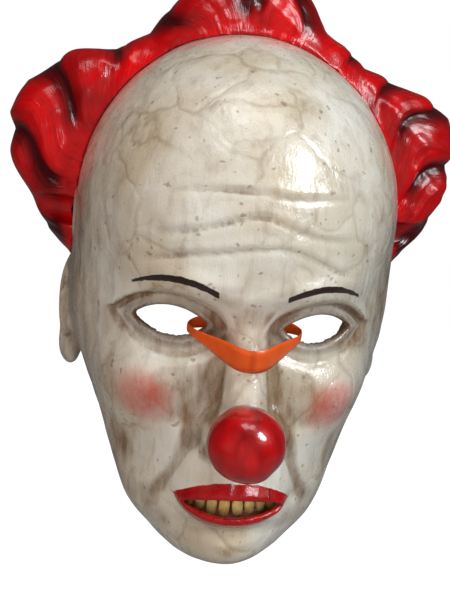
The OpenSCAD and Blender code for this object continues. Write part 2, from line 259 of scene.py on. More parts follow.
def headForm(p):
    x, y, z = np.abs(p[:, 0]), p[:, 1], p[:, 2]
    front = smoothStep(-20, -55, y)
    d = headBase(p)
    # bony forms
    rise = 2.4 * bump(x, z, 0, eyeZ + 15, 13, 10)
    rise += 4.2 * bump(x, z - 0.10 * x, 27, eyeZ + 17.5, 21, 7)
    rise += -8.5 * bump(x, z, 33, eyeZ + 1, 19, 12)
    rise += -3.5 * bump(x, z, 15.5, eyeZ - 2, 6, 10)
    rise += 6.5 * bump(x, z, 47, eyeZ - 31, 20, 15)
    rise += -3.0 * bump(x, z, 43, eyeZ - 66, 15, 17)
    rise += -2.0 * bump(x, z, 70, eyeZ + 18, 14, 20)
    rise += 5.0 * bump(x, z, 0, mouthZ + 5, 26, 19)
    rise += 7.5 * bump(x, z, 0, eyeZ - 112, 19, 12)
    rise += -3.6 * bump(x, z, 0, mouthZ - 16.5, 17, 4.6)
    rise += 1.8 * np.exp(-((x - 46) / 14) ** 2 - ((z - eyeZ + 98) / 14) ** 2)
    # fold from the nose wing past the corner of the mouth, and the full cheek outside it
    foldX = 15 + 0.44 * np.clip(eyeZ - 40 - z, 0, 44)
    along = smoothStep(eyeZ - 40, eyeZ - 50, z) * smoothStep(eyeZ - 92, eyeZ - 74, z)
    rise += along * (-1.5 * np.exp(-((x - foldX) / 3.0) ** 2) + 1.7 * np.exp(-((x - foldX - 9) / 7) ** 2))
    # upper lip groove
    rise += -0.9 * bump(x, z, 0, mouthZ + 15.5, 2.4, 5) + 0.5 * bump(x, z, 3.6, mouthZ + 15, 1.8, 5)
    # lids round the eye openings, with a fold above and a soft bag below
    lid = almond(x - head["eyePitch"] / 2, z - eyeZ, head["eyeWide"], head["eyeHigh"])
    rise += 2.0 * np.exp(-((lid - 1.6) / 2.2) ** 2)
    above = smoothStep(-1, 3, z - eyeZ)
    rise += -1.6 * above * np.exp(-((lid - 6.6) / 1.5) ** 2) + 1.2 * above * np.exp(-((lid - 10) / 2.6) ** 2)
    rise += -0.8 * (1 - above) * np.exp(-((lid - 8.5) / 1.8) ** 2)
    # lips
    upperZ, upperH, lowerZ, lowerH = lipShape(x, z)
    lipFade = smoothStep(29, 21, x)
    rise += 3.6 * lipFade * np.exp(-((z - upperZ) / upperH) ** 2 * 1.1)
    rise += 4.4 * lipFade * np.exp(-((z - lowerZ) / lowerH) ** 2 * 1.1)
    rise += -1.4 * bump(x, z, 28.5, mouthZ - 0.4, 3.6, 3.6)
    # soft creases across the forehead
    for k, level in enumerate((36, 50, 65)):
        bend = eyeZ + level + 3 * np.cos(x / 17 + k) - 0.0025 * x * x + 1.2 * np.sin(p[:, 0] / 9 + 2 * k)
        rise += -0.75 * np.exp(-((z - bend) / 1.5) ** 2) * smoothStep(56, 34, x + 6 * k)
        rise += 0.45 * np.exp(-((z - bend - 3.4) / 2.4) ** 2) * smoothStep(56, 34, x + 6 * k)
    d = d - front * rise
    # nose
    nose = blendMin(stick(p, (0, -84, eyeZ + 4), (0, -97, eyeZ - 34), 7.5, 10.5),
                    ellipsoid(p, (0, -98, eyeZ - 41), (11.5, 12, 10)), 6)
    side = np.stack([x, y, z], axis=-1)
    nose = blendMin(nose, ellipsoid(side, (11.5, -91, eyeZ - 44.5), (6.5, 9.5, 7)), 4)
    d = blendMin(d, nose, 9)
    # one hand-made casting is never even
    return d + 0.22 * wave(p, 34, 3) + 0.10 * wave(p, 13, 5)


def earForm(p):
    side = np.stack([np.abs(p[:, 0]), p[:, 1], p[:, 2]], axis=-1)
    turn = np.array(Matrix.Rotation(np.radians(-22), 3, "Z") @ Matrix.Rotation(np.radians(8), 3, "X"),
                    dtype=np.float32)
    q = (side - pts(85, 14, eyeZ - 20)) @ turn
    lobe = blendMin(ellipsoid(q, (0, 1, 4), (6, 15.5, 26)), ellipsoid(q, (0.5, -5, -23), (5, 8.5, 9)), 8)
    dish = ellipsoid(q, (6.2, 0.5, 5.5), (6.2, 11.4, 19.5))
    bowl = ellipsoid(q, (4.5, -5, -5), (7, 7.5, 9.5))
    ear = blendMax(lobe, -dish, 2.2)
    fold = stick(q, (2.4, 3.5, -9), (2.8, 5.2, 6), 2.2, 2.4)
    fold = blendMin(fold, stick(q, (2.8, 5.2, 6), (2.4, -2, 16), 2.4, 1.6), 2)
    ear = blendMin(ear, fold, 2.6)
    ear = blendMax(ear, -bowl, 2)
    return blendMin(ear, ellipsoid(q, (3.4, -11, -5), (3.2, 2.6, 4.6)), 3)


def rimCut(p):
    # positive behind the back rim, which runs down past the ears and curves under the jaw
    y, z = p[:, 1], p[:, 2]
    turnZ, endY, endZ = eyeZ - 30, -90.0, eyeZ - 150
    fall = np.clip((turnZ - z) / (turnZ - endZ), 0, 1)
    backY = endY + (head["backY"] - endY) * np.sqrt(np.clip(1 - fall * fall, 1e-4, 1))
    slant = np.sqrt(1 + (fall * 1.1 / np.sqrt(np.clip(1 - fall * fall, 0.05, 1))) ** 2)
    return (y - backY) / slant


def faceField(p):
    x = np.abs(p[:, 0])
    form = headForm(p)
    boss = np.maximum(np.hypot(p[:, 1], p[:, 2]) - seat["radius"], x - rivetX)
    outer = blendMin(blendMin(form, earForm(p), 5), np.where(x > rivetSide, boss, 99), 2.5)
    outer = np.where(np.hypot(p[:, 1], p[:, 2]) < seat["flat"], np.maximum(outer, x - rivetX), outer)
    inner = form + head["skin"]
    inner = np.where(x > rivetSide, blendMax(inner, -(boss + 1.0), 2), inner)
    d = np.maximum(outer, -inner)
    d = blendMax(d, rimCut(p), 2.2)
    eye = almond(x - head["eyePitch"] / 2, p[:, 2] - eyeZ, head["eyeWide"], head["eyeHigh"])
    d = blendMax(d, -np.where(p[:, 1] < -30, eye, 99), 1.8)
    mouth = almond(x, p[:, 2] - mouthZ, head["mouthWide"], head["mouthHigh"])
    d = blendMax(d, -np.where(p[:, 1] < -60, mouth, 99), 1.8)
    nostril = stick(np.stack([x, p[:, 1], p[:, 2]], axis=-1),
                    (5.5, -94, eyeZ - 44), (6, -90, eyeZ - 60), 2.4, 2.6)
    hole = np.hypot(p[:, 1], p[:, 2]) - seat["hole"]
    d = np.maximum(d, -np.where(x > rivetSide, hole, 99))
    return blendMax(d, -nostril, 1.2)


# hair: one flowing form for all three castings, so the parting planes don't show
hair = {
    "wall": 3.0,
    "lift": 0.2,
    "split": float(boxOf("left_hair_tuft")[0][0]),
    "backY": float(boxOf("crown_hair")[1][1]),
    "front": 5.5,       # how far the hairline roll stands ahead of the rivets
    "rivetRoom": 7.5, "foldDeep": 5.2, "strandDeep": 0.75,
    "ringWide": 83.5, "ringHigh": 90, "ringZ": 4,      # the hairline as an ellipse
}
# outline of the hair seen from the front: angle from the rivets, and how far it stands out from the head
outlineTurn = (-24, -16, -9, 0, 10, 18, 26, 33, 40, 50, 58, 66, 73, 81, 90)
outlineRise = (3, 9, 19, 28, 39, 46, 46.5, 38, 29, 18, 16, 21, 30, 40, 47)


def hairPlace(p):
    # angle round the head in degrees from the nearer rivet, and distance out from the hairline
    x, z = np.abs(p[:, 0]), p[:, 2] - hair["ringZ"]
    turn = np.degrees(np.arctan2(z / hair["ringHigh"], x / hair["ringWide"]))
    t = np.radians(turn)
    ringX, ringZ = hair["ringWide"] * np.cos(t), hair["ringHigh"] * np.sin(t)
    return turn, np.hypot(x, z) - np.hypot(ringX, ringZ)


def hairFolds(p):
    # large folds that run outwards and upwards from the hairline, each steeper on its lower side
    turn, out = hairPlace(p)
    side = np.tanh(p[:, 0] / 14)
    pull = smoothStep(62, 48, turn)
    sweep = turn - pull * (0.52 * out - 0.0072 * out * out) - (1 - pull) * 0.1 * out
    bend = 2.2 * np.sin(out / 9.0 + turn / 14 + side) + 1.4 * wave(p, 42, 31)
    count = 3.4 + 0.7 * smoothStep(0, 1, side) - 0.5 * smoothStep(50, 75, turn)
    cycle = 0.35 + 0.13 * side - (sweep + bend) / 60 * count
    saw = cycle - np.floor(cycle)
    ridge = np.where(saw < 0.72, np.sin(saw / 0.72 * np.pi / 2), np.cos((saw - 0.72) / 0.28 * np.pi / 2))
    fine = (sweep + 1.6 * bend) / 60 * count * 3.0 + 0.4 * side
    grow = smoothStep(1, 15, out)
    return ridge * grow, (0.5 + 0.5 * np.cos(fine * 2 * np.pi)) * smoothStep(3, 14, out), fine, out


def hairForm(p):
    turn, out = hairPlace(p)
    y = p[:, 1]
    folds, strands, _, _ = hairFolds(p)
    side = np.tanh(p[:, 0] / 14)
    rise = np.interp(turn, outlineTurn, outlineRise)
    rise = rise + 1.6 * np.sin(turn / 4.2 + side) + 0.7 * np.sin(turn / 2.3 + 2 * side)
    edge = out - rise * (0.93 + 0.07 * folds)
    # the front face leans back from the hairline to the outer edge, and the folds stand up from it
    lean = np.clip(out / np.maximum(rise, 4), 0, 1.2)
    frontY = (-hair["front"] + 15 * lean ** 1.6
              - hair["foldDeep"] * (1 - 0.35 * smoothStep(55, 78, turn)) * (folds - 0.5)
              - hair["strandDeep"] * strands)
    frontY = frontY + 0.6 * wave(p, 22, 11) + 0.25 * wave(p, 9, 12)
    face = (frontY - y) * 0.82
    return blendMax(face, edge * 0.92, 11)


def hairRoll(p):
    # a plain even roll along the hairline, from one rivet over the crown to the other
    turn, out = hairPlace(p)
    size = 6.2 + 0.7 * np.sin(turn / 6.0 + 1.0)
    roll = np.hypot(out + 0.6, p[:, 1] - 1.5) - size
    return roll + np.maximum(2 - turn, 0) * 0.55


def hairOuter(p):
    # the outside of the hair, with clear room round each rivet
    outer = blendMin(hairForm(p), hairRoll(p), 3.5)
    room = np.where((np.abs(p[:, 0]) > rivetSide) & (p[:, 1] < 10),
                    np.hypot(p[:, 1], p[:, 2]) - hair["rivetRoom"], 99)
    return blendMax(outer, -room, 2.5)


def hairField(p):
    form = headForm(p)
    outer = hairOuter(p)
    solid = np.maximum(outer, hair["lift"] - form)
    hollow = np.maximum(outer + hair["wall"], hair["lift"] + hair["wall"] - form)
    d = blendMax(solid, -hollow, 0.8)
    return blendMax(d, rimCut(p) + 0.2, 2.0)


def cutCasting(name, whole, sides):
    # keeps the part of the whole hair on one side of each parting plane, and closes the cut
    shape = bmesh.new()
    shape.from_mesh(whole.data)
    for way, at in sides:
        cut = bmesh.ops.bisect_plane(shape, geom=shape.verts[:] + shape.edges[:] + shape.faces[:],
                dist=1e-7, plane_co=(at * mm, 0, 0), plane_no=(way, 0, 0), clear_outer=True)
        edges = [e for e in cut["geom_cut"] if isinstance(e, bmesh.types.BMEdge)]
        filled = bmesh.ops.triangle_fill(shape, edges=edges, use_beauty=True, normal=(way, 0, 0))
        for face in filled["geom"]:
            if isinstance(face, bmesh.types.BMFace):
                face.smooth = False
                for edge in face.edges:
                    edge.smooth = False
    mesh = bpy.data.meshes.new(name)
    shape.to_mesh(mesh)
    shape.free()
    return addObject(name, mesh)


def paintHair(thing, points):
    folds, strands, fine, out = hairFolds(points)
    turn, _ = hairPlace(points)
    # painted shade: darker in the fold valleys and towards the lower tips
    low = smoothStep(14, -8, turn) * smoothStep(2, 14, out)
    giveValue(thing, "foldAndTipShade", np.clip((1 - folds) * smoothStep(4, 16, out) + 0.55 * low, 0, 1))
    giveValue(thing, "across", fine * 14)
    giveValue(thing, "out", out)


# materials
def hexColour(text):
    parts = [int(text[i:i + 2], 16) / 255 for i in (1, 3, 5)]
    return tuple(c / 12.92 if c <= 0.04045 else ((c + 0.055) / 1.055) ** 2.4 for c in parts) + (1.0,)


def addNode(tree, kind, links=None, out=None, **settings):
    # adds one node with its settings and links, and gives its first live output or the one named
    node = tree.nodes.new(kind if "Node" in kind else "ShaderNode" + kind)
    for name, value in settings.items():
        setattr(node, name, value)
    for key, value in (links or {}).items():
        socket = next(s for i, s in enumerate(node.inputs) if key in (i, s.name) and (s.enabled or key == i))
        if isinstance(value, bpy.types.NodeSocket):
            tree.links.new(value, socket)
        else:
            socket.default_value = hexColour(value) if isinstance(value, str) else value
    return node.outputs[out] if out is not None else next((s for s in node.outputs if s.enabled), None)


def newMaterial(name):
    # gives the material, a short way to add nodes to it, and its object coordinates
    material = bpy.data.materials.new(name)
    material.use_nodes = True
    add = partial(addNode, material.node_tree)
    return material, add, add("TexCoord", out="Object")


def setShader(material, inputs):
    shader = material.node_tree.nodes["Principled BSDF"]
    for name, value in inputs.items():
        if isinstance(value, bpy.types.NodeSocket):
            material.node_tree.links.new(value, shader.inputs[name])
        else:
            shader.inputs[name].default_value = value
    return material


def paintedLatex():
    # Cast latex under sponged acrylic and gloss varnish: ivory, with brown brushed streaks and crack lines,
    # painted brown shade in the creases and hollows, round the eye openings and on the outer sides, pearl
    # grit that sparkles, and red overspray beside the hairline
    look = {"ivory": "#e2ded4", "warm": "#cbbda4", "washAndShade": "#7d5c3a", "shade": "#5c4336", "spray": "#b4605a",
            "lip": "#c00308", "lipDark": "#8a0306", "cheek": "#cf5a50", "brow": "#2e1f1b", "speck": "#6b4c33",
            "grit": 1 / 0.0009, "brush": 1 / 0.006, "cloud": 1 / 0.038}
    material, add, place = newMaterial("paintedLatex")
    long = add("Mapping", {"Vector": place, "Scale": (1, 1, 0.22)})
    cloud = add("TexNoise", {"Vector": place, "Scale": look["cloud"], "Detail": 6.0, "Roughness": 0.6})
    speck = add("TexNoise", {"Vector": place, "Scale": 420.0, "Detail": 3.0, "Roughness": 0.7})
    dots = add("TexNoise", {"Vector": place, "Scale": 260.0, "Detail": 1.0})
    brushed = add("TexNoise", {"Vector": long, "Scale": look["brush"], "Detail": 5.0, "Roughness": 0.65})
    grit = add("TexNoise", {"Vector": place, "Scale": look["grit"], "Detail": 2.0})
    web = add("TexVoronoi", {"Vector": add("VectorMath", {0: place, 1: add("VectorMath", {
        0: add("TexNoise", {"Vector": place, "Scale": 40.0, "Detail": 3.0}, out="Color"), "Scale": 0.026},
        operation="SCALE")}, operation="ADD"), "Scale": 34.0}, feature="DISTANCE_TO_EDGE")
    creaseShade, lid = (add("Attribute", attribute_name=n, out="Fac") for n in ("creaseShade", "lid"))
    patch = add("MapRange", {"Value": cloud, "From Min": 0.36, "From Max": 0.68})
    colour = add("Mix", {"Factor": patch, "A": look["ivory"], "B": look["warm"]},
                 data_type="RGBA")
    # each coat: how much of it, its strength, and its colour
    streaky = add("MapRange", {"Value": brushed, "From Min": 0.3, "From Max": 0.62, "To Min": 0.35})
    grainy = add("MapRange", {"Value": speck, "From Min": 0.25, "From Max": 0.7, "To Min": 0.5})
    some = add("MapRange", {"Value": cloud, "From Min": 0.44, "From Max": 0.60})
    coats = [(add("MapRange", {"Value": brushed, "From Min": 0.52, "From Max": 0.75}), grainy, 0.42,
            "washAndShade"), (add("MapRange", {"Value": web, "From Min": 0.055, "From Max": 0.0}), some, 0.38,
            # painted shade: the next coat darkens the colour where the surface closes in
            "washAndShade"), (add("MapRange", {"Value": creaseShade, "From Min": 0.06, "From Max": 0.8}), streaky, 0.95,
            # painted shade: the next coat darkens the colour in the deep hollows
            "washAndShade"), (add("MapRange", {"Value": add("Attribute", attribute_name="hollow", out="Fac"),
            "From Min": 0.8, "From Max": 5.0}), streaky, 0.6, "washAndShade"),
            # painted shade: this coat darkens the outer sides of the face
            (add("Attribute", attribute_name="flankShade", out="Fac"), streaky, 0.5, "shade"),
            (add("MapRange", {"Value": dots, "From Min": 0.70, "From Max": 0.74}), grainy, 0.6, "speck"),
            # painted shade round the eye openings, strongest at their edge
            (add("MapRange", {"Value": lid, "From Min": 8.0, "From Max": 0.0}), grainy, 0.85, "shade"),
            (add("Attribute", attribute_name="spray", out="Fac"), grainy, 0.7, "spray"),
            (add("Attribute", attribute_name="cheek", out="Fac"), grainy, 0.85, "cheek"), ]
    for amount, texture, strength, name in coats:
        cover = add("Math", {0: add("Math", {0: amount, 1: texture}, operation="MULTIPLY"), 1: strength},
                    operation="MULTIPLY", use_clamp=True)
        colour = add("Mix", {"Factor": cover, "A": colour, "B": look[name]}, data_type="RGBA")
    wobble = add("MapRange", {"Value": add("TexNoise", {"Vector": place, "Scale": 330.0, "Detail": 2.0}),
            "To Min": -0.5, "To Max": 0.5})
    lipTone = add("Mix", {"Factor": add("MapRange", {"Value": brushed, "From Min": 0.35, "From Max": 0.7}),
            "A": look["lip"], "B": look["lipDark"]}, data_type="RGBA")
    for name, tone in (("brow", look["brow"]), ("lip", lipTone)):
        near = add("Math", {0: add("Attribute", attribute_name=name, out="Fac"), 1: wobble}, operation="ADD")
        edge = add("MapRange", {"Value": near, "From Min": -0.14, "From Max": 0.14})
        colour = add("Mix", {"Factor": edge, "A": colour, "B": tone}, data_type="RGBA")
    relief = add("Bump", {"Height": grit, "Distance": 0.00016, "Strength": 0.75})
    strokes = add("Bump", {"Height": brushed, "Distance": 0.0009, "Strength": 0.5, "Normal": relief})
    webbed = add("Bump", {"Height": add("MapRange", {"Value": web, "From Max": 0.12}), "Distance": 0.0007,
            "Strength": 0.3, "Normal": strokes})
    rough = add("MapRange", {"Value": speck, "From Min": 0.3, "From Max": 0.7, "To Min": 0.22,
            "To Max": 0.42})
    return setShader(material, {
        "Base Color": colour, "Roughness": rough, "Normal": webbed, "Coat Normal": webbed, "IOR": 1.5,
        "Coat Weight": 0.7, "Coat Roughness": 0.14, "Subsurface Weight": 0.05, "Subsurface Scale": 0.004,
        "Subsurface Radius": (1.0, 0.6, 0.4)})


def rawLatex():
    # The unpainted inside of a slush casting: tan and matt, with flow marks and small bubbles
    material, add, place = newMaterial("rawLatex")
    flow = add("TexNoise", {"Vector": add("Mapping", {"Vector": place, "Scale": (1, 1, 0.3)}),
            "Scale": 80.0, "Detail": 5.0, "Roughness": 0.6})
    bubbles = add("TexVoronoi", {"Vector": place, "Scale": 330.0})
    pit = add("MapRange", {"Value": bubbles, "From Min": 0.08, "From Max": 0.2})
    colour = add("Mix", {"Factor": add("MapRange", {"Value": flow, "From Min": 0.3, "From Max": 0.7}),
            "A": "#cdb48c", "B": "#a98a60"}, data_type="RGBA")
    pits = add("Bump", {"Height": pit, "Distance": 0.0003, "Strength": 0.4})
    skin = add("Bump", {"Height": flow, "Distance": 0.0014, "Strength": 0.6, "Normal": pits})
    return setShader(material, {"Base Color": colour, "Roughness": 0.6, "Normal": skin,
            "Subsurface Weight": 0.08, "Subsurface Scale": 0.004})


def hairLatex():
    # Cast latex under red enamel: maroon painted shade in the folds and towards the lower tips, darker combed
    # strands, and a wet gloss
    look = {"red": "#d60107", "deep": "#9c0207", "fold": "#2a0104", "strandWide": 0.30}
    material, add, place = newMaterial("hairLatex")
    out, across, foldAndTipShade = (add("Attribute", attribute_name=n, out="Fac") for n in ("out", "across", "foldAndTipShade"))
    strand = add("CombineXYZ", {"X": add("Math", {0: out, 1: 0.03}, operation="MULTIPLY"),
            "Y": add("Math", {0: across, 1: look["strandWide"]}, operation="MULTIPLY")})
    streak = add("TexNoise", {"Vector": strand, "Scale": 1.0, "Detail": 4.0, "Roughness": 0.6})
    patch = add("TexNoise", {"Vector": place, "Scale": 42.0, "Detail": 4.0})
    dip = add("TexNoise", {"Vector": place, "Scale": 130.0, "Detail": 2.0})
    colour = add("Mix", {"Factor": add("MapRange", {"Value": patch, "From Min": 0.38, "From Max": 0.68}),
            "A": look["red"], "B": look["deep"]}, data_type="RGBA")
    # painted shade in the darkest maroon over the folds and lower tips, together with the combed strands
    paintedFoldShade = add("MapRange", {"Value": foldAndTipShade, "From Min": 0.12, "From Max": 1.0},
            interpolation_type="SMOOTHSTEP")
    combed = add("MapRange", {"Value": streak, "From Min": 0.52, "From Max": 0.75, "To Max": 0.4})
    shadeAndStreaks = add("Math", {0: paintedFoldShade, 1: combed}, operation="ADD", use_clamp=True)
    shadeAndStreaks = add("Math", {0: shadeAndStreaks, 1: 0.95}, operation="MULTIPLY")
    colour = add("Mix", {"Factor": shadeAndStreaks, "A": colour, "B": look["fold"]}, data_type="RGBA")
    lumps = add("Bump", {"Height": dip, "Distance": 0.0011, "Strength": 0.35})
    ridges = add("Bump", {"Height": streak, "Distance": 0.0012, "Strength": 0.5, "Normal": lumps})
    rough = add("MapRange", {"Value": patch, "From Min": 0.3, "From Max": 0.7, "To Min": 0.26, "To Max": 0.4})
    return setShader(material, {"Base Color": colour, "Roughness": rough, "Normal": ridges,
            "Coat Normal": ridges, "Coat Weight": 0.6, "Coat Roughness": 0.06, "Specular IOR Level": 0.3})


def noseEnamel():
    # Latex ball under two thick coats of red enamel, with brush ridges and a few thin spots
    material, add, place = newMaterial("noseEnamel")
    strokes = add("TexNoise", {"Vector": add("Mapping", {"Vector": place, "Scale": (1, 1, 0.35)}),
            "Scale": 150.0, "Detail": 4.0})
    grit = add("TexNoise", {"Vector": place, "Scale": 650.0, "Detail": 2.0})
    colour = add("Mix", {"Factor": add("MapRange", {"Value": strokes, "From Min": 0.35, "From Max": 0.7}),
            "A": "#c30308", "B": "#860307"}, data_type="RGBA")
    fine = add("Bump", {"Height": grit, "Distance": 0.00013, "Strength": 0.5})
    relief = add("Bump", {"Height": strokes, "Distance": 0.0009, "Strength": 0.5, "Normal": fine})
    return setShader(material, {"Base Color": colour, "Roughness": 0.3, "Normal": relief,
            "Coat Normal": relief, "Coat Weight": 0.9, "Coat Roughness": 0.06})


def gumLatex():
    # Pink gum latex, blotched darker, with a wet varnish
    material, add, place = newMaterial("gumLatex")
    blotch = add("TexNoise", {"Vector": place, "Scale": 170.0, "Detail": 4.0})
    colour = add("Mix", {"Factor": add("MapRange", {"Value": blotch, "From Min": 0.3, "From Max": 0.7}),
            "A": "#a8544f", "B": "#5c2220"}, data_type="RGBA")
    return setShader(material, {"Base Color": colour, "Roughness": 0.3, "Coat Weight": 0.6,
            "Coat Roughness": 0.1, "Normal": add("Bump", {"Height": blotch, "Distance": 0.0006,
            "Strength": 0.5}), "Subsurface Weight": 0.1, "Subsurface Scale": 0.003})


def toothResin():
    # Cast resin teeth: aged ivory, brown towards the gum and in the grooves, under a hard gloss
    material, add, place = newMaterial("toothResin")
    root = add("Attribute", attribute_name="root", out="Fac")
    blotch = add("TexNoise", {"Vector": place, "Scale": 330.0, "Detail": 4.0})
    groove = add("TexNoise", {"Vector": add("Mapping", {"Vector": place, "Scale": (1, 1, 0.2)}),
            "Scale": 700.0, "Detail": 3.0})
    colour = add("Mix", {"Factor": add("MapRange", {"Value": blotch, "From Min": 0.3, "From Max": 0.7}),
            "A": "#f6dfa0", "B": "#dcb260"}, data_type="RGBA")
    stain = add("Math", {0: add("MapRange", {"Value": root, "From Min": 0.35, "From Max": 1.0}),
            1: add("MapRange", {"Value": groove, "From Min": 0.2, "From Max": 0.6, "To Min": 0.5})},
            operation="MULTIPLY", use_clamp=True)
    colour = add("Mix", {"Factor": stain, "A": colour, "B": "#6e451c"}, data_type="RGBA")
    return setShader(material, {"Base Color": colour, "Roughness": 0.25, "Coat Weight": 0.5,
            "Coat Roughness": 0.08, "Normal": add("Bump", {"Height": groove, "Distance": 0.0002,
            "Strength": 0.5}), "Subsurface Weight": 0.1, "Subsurface Scale": 0.002})


def agedSteel(name, tone, roughness):
    # Pressed steel with a worn finish: paler rubbed spots and fine scuffs
    material, add, place = newMaterial(name)
    rub = add("TexNoise", {"Vector": place, "Scale": 550.0, "Detail": 4.0, "Roughness": 0.65})
    colour = add("Mix", {"Factor": add("MapRange", {"Value": rub, "From Min": 0.5, "From Max": 0.8}),
            "A": tone, "B": "#8d8782"}, data_type="RGBA")
    rough = add("MapRange", {"Value": rub, "From Min": 0.3, "From Max": 0.7, "To Min": roughness,
            "To Max": roughness + 0.2})
    return setShader(material, {"Base Color": colour, "Metallic": 1.0, "Roughness": rough,
            "Normal": add("Bump", {"Height": rub, "Distance": 0.0001, "Strength": 0.4})})


def wovenElastic():
    # Braided elastic: rubber cores 1.6 mm apart across the width, crossed by picks 0.75 mm apart, with
    # painted shade between the yarns and lighter yarn tops
    material, add, place = newMaterial("wovenElastic")
    uv = add("UVMap", uv_map="strapUv")
    cores = add("TexWave", {"Vector": uv, "Scale": 0.314 / 1.6, "Distortion": 0.4}, out="Fac",
            bands_direction="Y")
    picks = add("TexWave", {"Vector": uv, "Scale": 0.314 / 0.75, "Distortion": 0.8}, out="Fac",
            bands_direction="X")
    fuzz = add("TexNoise", {"Vector": place, "Scale": 1100.0, "Detail": 3.0})
    weave = add("Math", {0: cores, 1: add("MapRange", {"Value": picks, "To Min": 0.45})},
            operation="MULTIPLY")
    # painted light: the colour is lighter on the yarn tops and darker between the yarns
    lit = add("Math", {0: weave, 1: add("MapRange", {"Value": fuzz, "From Min": 0.3, "From Max": 0.7,
            "To Min": 0.6})}, operation="MULTIPLY")
    colour = add("Mix", {"Factor": lit, "A": "#0b0b0c", "B": "#3b3b41"}, data_type="RGBA")
    return setShader(material, {"Base Color": colour, "Roughness": 0.85, "Sheen Weight": 0.25,
            "Normal": add("Bump", {"Height": weave, "Distance": 0.0005, "Strength": 0.8})})


def cottonTape():
    # Cotton twill tape soaked with latex where it is bonded: diagonal ribs 1.2 mm apart
    material, add, place = newMaterial("cottonTape")
    twill = add("TexWave", {"Vector": add("Mapping", {"Vector": place, "Rotation": (0.785, 0, 0)}),
            "Scale": 0.314 / 0.0012, "Distortion": 1.0}, out="Fac", bands_direction="Z")
    colour = add("Mix", {"Factor": twill, "A": "#8f8268", "B": "#c9bd9f"}, data_type="RGBA")
    return setShader(material, {"Base Color": colour, "Roughness": 0.8,
            "Normal": add("Bump", {"Height": twill, "Distance": 0.0003, "Strength": 0.6})})


def openFoam():
    # Open-cell polyurethane foam: cells drawn 1.3 mm wide so that they show, with painted shade in each cell
    material, add, place = newMaterial("openFoam")
    cells = add("TexVoronoi", {"Vector": place, "Scale": 1 / 0.0013})
    blotch = add("TexNoise", {"Vector": place, "Scale": 50.0, "Detail": 3.0})
    pale = add("Mix", {"Factor": blotch, "A": "#85858a", "B": "#a9a8a8"}, data_type="RGBA")
    # painted shade: each cell turns darker away from its centre
    colour = add("Mix", {"Factor": add("MapRange", {"Value": cells, "From Min": 0.15, "From Max": 0.75}),
            "A": pale, "B": "#4c4c50"}, data_type="RGBA")
    return setShader(material, {"Base Color": colour, "Roughness": 0.95, "Sheen Weight": 0.2,
            "Specular IOR Level": 0.2, "Normal": add("Bump", {"Height": cells, "Distance": 0.0007,
            "Strength": 0.8})})


def softVinyl():
    # Calendered PVC film: orange, hazy with fine creases, and rubbed darker along the fold
    material, add, place = newMaterial("softVinyl")
    haze = add("TexNoise", {"Vector": place, "Scale": 260.0, "Detail": 4.0})
    fold = add("MapRange", {"Value": add("Attribute", attribute_name="fold", out="Fac"), "From Min": 0.2,
            "To Max": 0.6})
    colour = add("Mix", {"Factor": haze, "A": "#f4661f", "B": "#df4f12"}, data_type="RGBA")
    colour = add("Mix", {"Factor": fold, "A": colour, "B": "#b53c0a"}, data_type="RGBA")
    return setShader(material, {"Base Color": colour, "Roughness": 0.34, "Coat Weight": 0.3,
            "Coat Roughness": 0.15, "Normal": add("Bump", {"Height": haze, "Distance": 0.0004,
            "Strength": 0.5}), "Subsurface Weight": 0.08, "Subsurface Scale": 0.002})


finishes = {
    "face": paintedLatex(), "raw": rawLatex(), "hair": hairLatex(), "nose": noseEnamel(), "gum": gumLatex(),
    "tooth": toothResin(), "rivet": agedSteel("blackenedSteel", "#2e2724", 0.28),
    "washer": agedSteel("zincPlatedSteel", "#b4b4b2", 0.3), "strap": wovenElastic(), "tape": cottonTape(),
    "foam": openFoam(), "vinyl": softVinyl(), "wire": agedSteel("drawnSteelWire", "#c2c2c0", 0.22),
}
print("materials", len(finishes))


def finish(thing, *names):
    for name in names:
        thing.data.materials.append(finishes[name])


def insideFaces(thing, points, field, depth):
    # the second material goes on faces that lie deeper than depth under the form
    deep = field(points) < -depth
    loops = np.empty(len(thing.data.loops), dtype=np.int32)
    thing.data.loops.foreach_get("vertex_index", loops)
    starts = np.empty(len(thing.data.polygons), dtype=np.int32)
    thing.data.polygons.foreach_get("loop_start", starts)
    inner = deep[loops[starts]] & deep[loops[starts + 2]]
    thing.data.polygons.foreach_set("material_index", inner.astype(np.int32))


def creaseOf(field, points, reach):
    # how much nearer the surface closes in than a flat one would, in millimetres
    out = slope(field, points)
    return reach - field(points + out * reach)


# face shell
step = 1.3
margin = np.array((4.0, 4.0, 4.0))
faceShell, facePoints = meshFromField("faceShell", faceField, rim[0] - margin, rim[1] + margin, step)
finish(faceShell, "face", "raw")
insideFaces(faceShell, facePoints, lambda p: np.minimum(headForm(p), earForm(p)), 1.6)

mx, my, mz = np.abs(facePoints[:, 0]), facePoints[:, 1], facePoints[:, 2]
onFront = smoothStep(-35, -60, my)
lidEdge = almond(mx - head["eyePitch"] / 2, mz - eyeZ, head["eyeWide"], head["eyeHigh"])
upperZ, upperH, lowerZ, lowerH = lipShape(mx, mz)
upperLip = 1 - np.abs((mz - upperZ) / (upperH * 1.35))
lowerLip = 1 - np.abs((mz - lowerZ) / (lowerH * 1.25))
between = np.where((mz < upperZ) & (mz > lowerZ), 1.0, -9)
lipMask = np.maximum(np.maximum(upperLip * 5, lowerLip * 5), between)
lipMask = np.minimum(lipMask, (28.5 - mx)) * np.where(onFront > 0.5, 1, 0) - np.where(onFront > 0.5, 0, 9)
browLine = eyeZ + 22.5 - 0.016 * (mx - 33) ** 2
browMask = np.minimum(1.5 - np.abs(mz - browLine) - 0.05 * np.maximum(mx - 40, 0),
        np.minimum(mx - 15, 53 - mx))
browMask = np.where(onFront > 0.3, browMask, -9)
